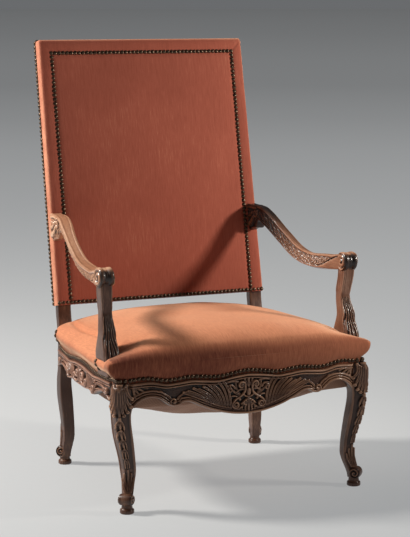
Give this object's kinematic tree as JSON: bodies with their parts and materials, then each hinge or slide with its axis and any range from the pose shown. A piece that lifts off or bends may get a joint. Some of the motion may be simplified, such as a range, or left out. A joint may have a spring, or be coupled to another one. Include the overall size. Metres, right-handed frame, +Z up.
{
  "type": "armchair",
  "caption": "High-backed open armchair with a carved cabriole-leg frame, shaped arms with scrolled knuckles, sprung padded seat and flat padded back in nailed velvet.",
  "frame": {"origin": "centre of the chair's box, on the floor under the feet", "axes": "+Z up, +X to the chair's right side as seen from the front, +Y from the front rail to the back"},
  "size_m": [0.7472, 0.7398, 1.1695],
  "materials": {
    "stained_wood": "waxed",
    "velvet": "short pile",
    "nail_metal": "aged",
    "webbing": "woven jute",
    "canvas": "woven",
    "stuffing": "stitched fibre",
    "spring_steel": "oiled",
    "bottom_cloth": "woven"
  },
  "bodies": {
    "root": {"front_leg_right": "stained_wood", "front_leg_left": "stained_wood", "rear_post_right": "stained_wood", "rear_post_left": "stained_wood", "front_rail": "stained_wood", "side_rail_right": "stained_wood", "side_rail_left": "stained_wood", "rear_rail": "stained_wood", "crest_rail": "stained_wood", "back_lower_rail": "stained_wood", "arm_right": "stained_wood", "arm_left": "stained_wood", "arm_support_right": "stained_wood", "arm_support_left": "stained_wood", "corner_blocks": "stained_wood", "frame_pegs": "stained_wood", "seat_cover": "velvet", "back_panel_cover": "velvet", "back_border_cover": "velvet", "outside_back_cover": "velvet", "back_nails_front": "nail_metal", "back_nails_bottom": "nail_metal", "back_nails_left": "nail_metal", "back_nails_right": "nail_metal", "back_nails_top": "nail_metal", "seat_nails_front": "nail_metal", "seat_nails_right": "nail_metal", "seat_nails_left": "nail_metal", "seat_webbing": "webbing", "back_webbing": "webbing", "spring_canvas": "canvas", "back_canvas": "canvas", "seat_stuffing": "stuffing", "back_stuffing": "stuffing", "seat_springs": "spring_steel", "bottom_cloth": "bottom_cloth"}
  },
  "joints": []
}
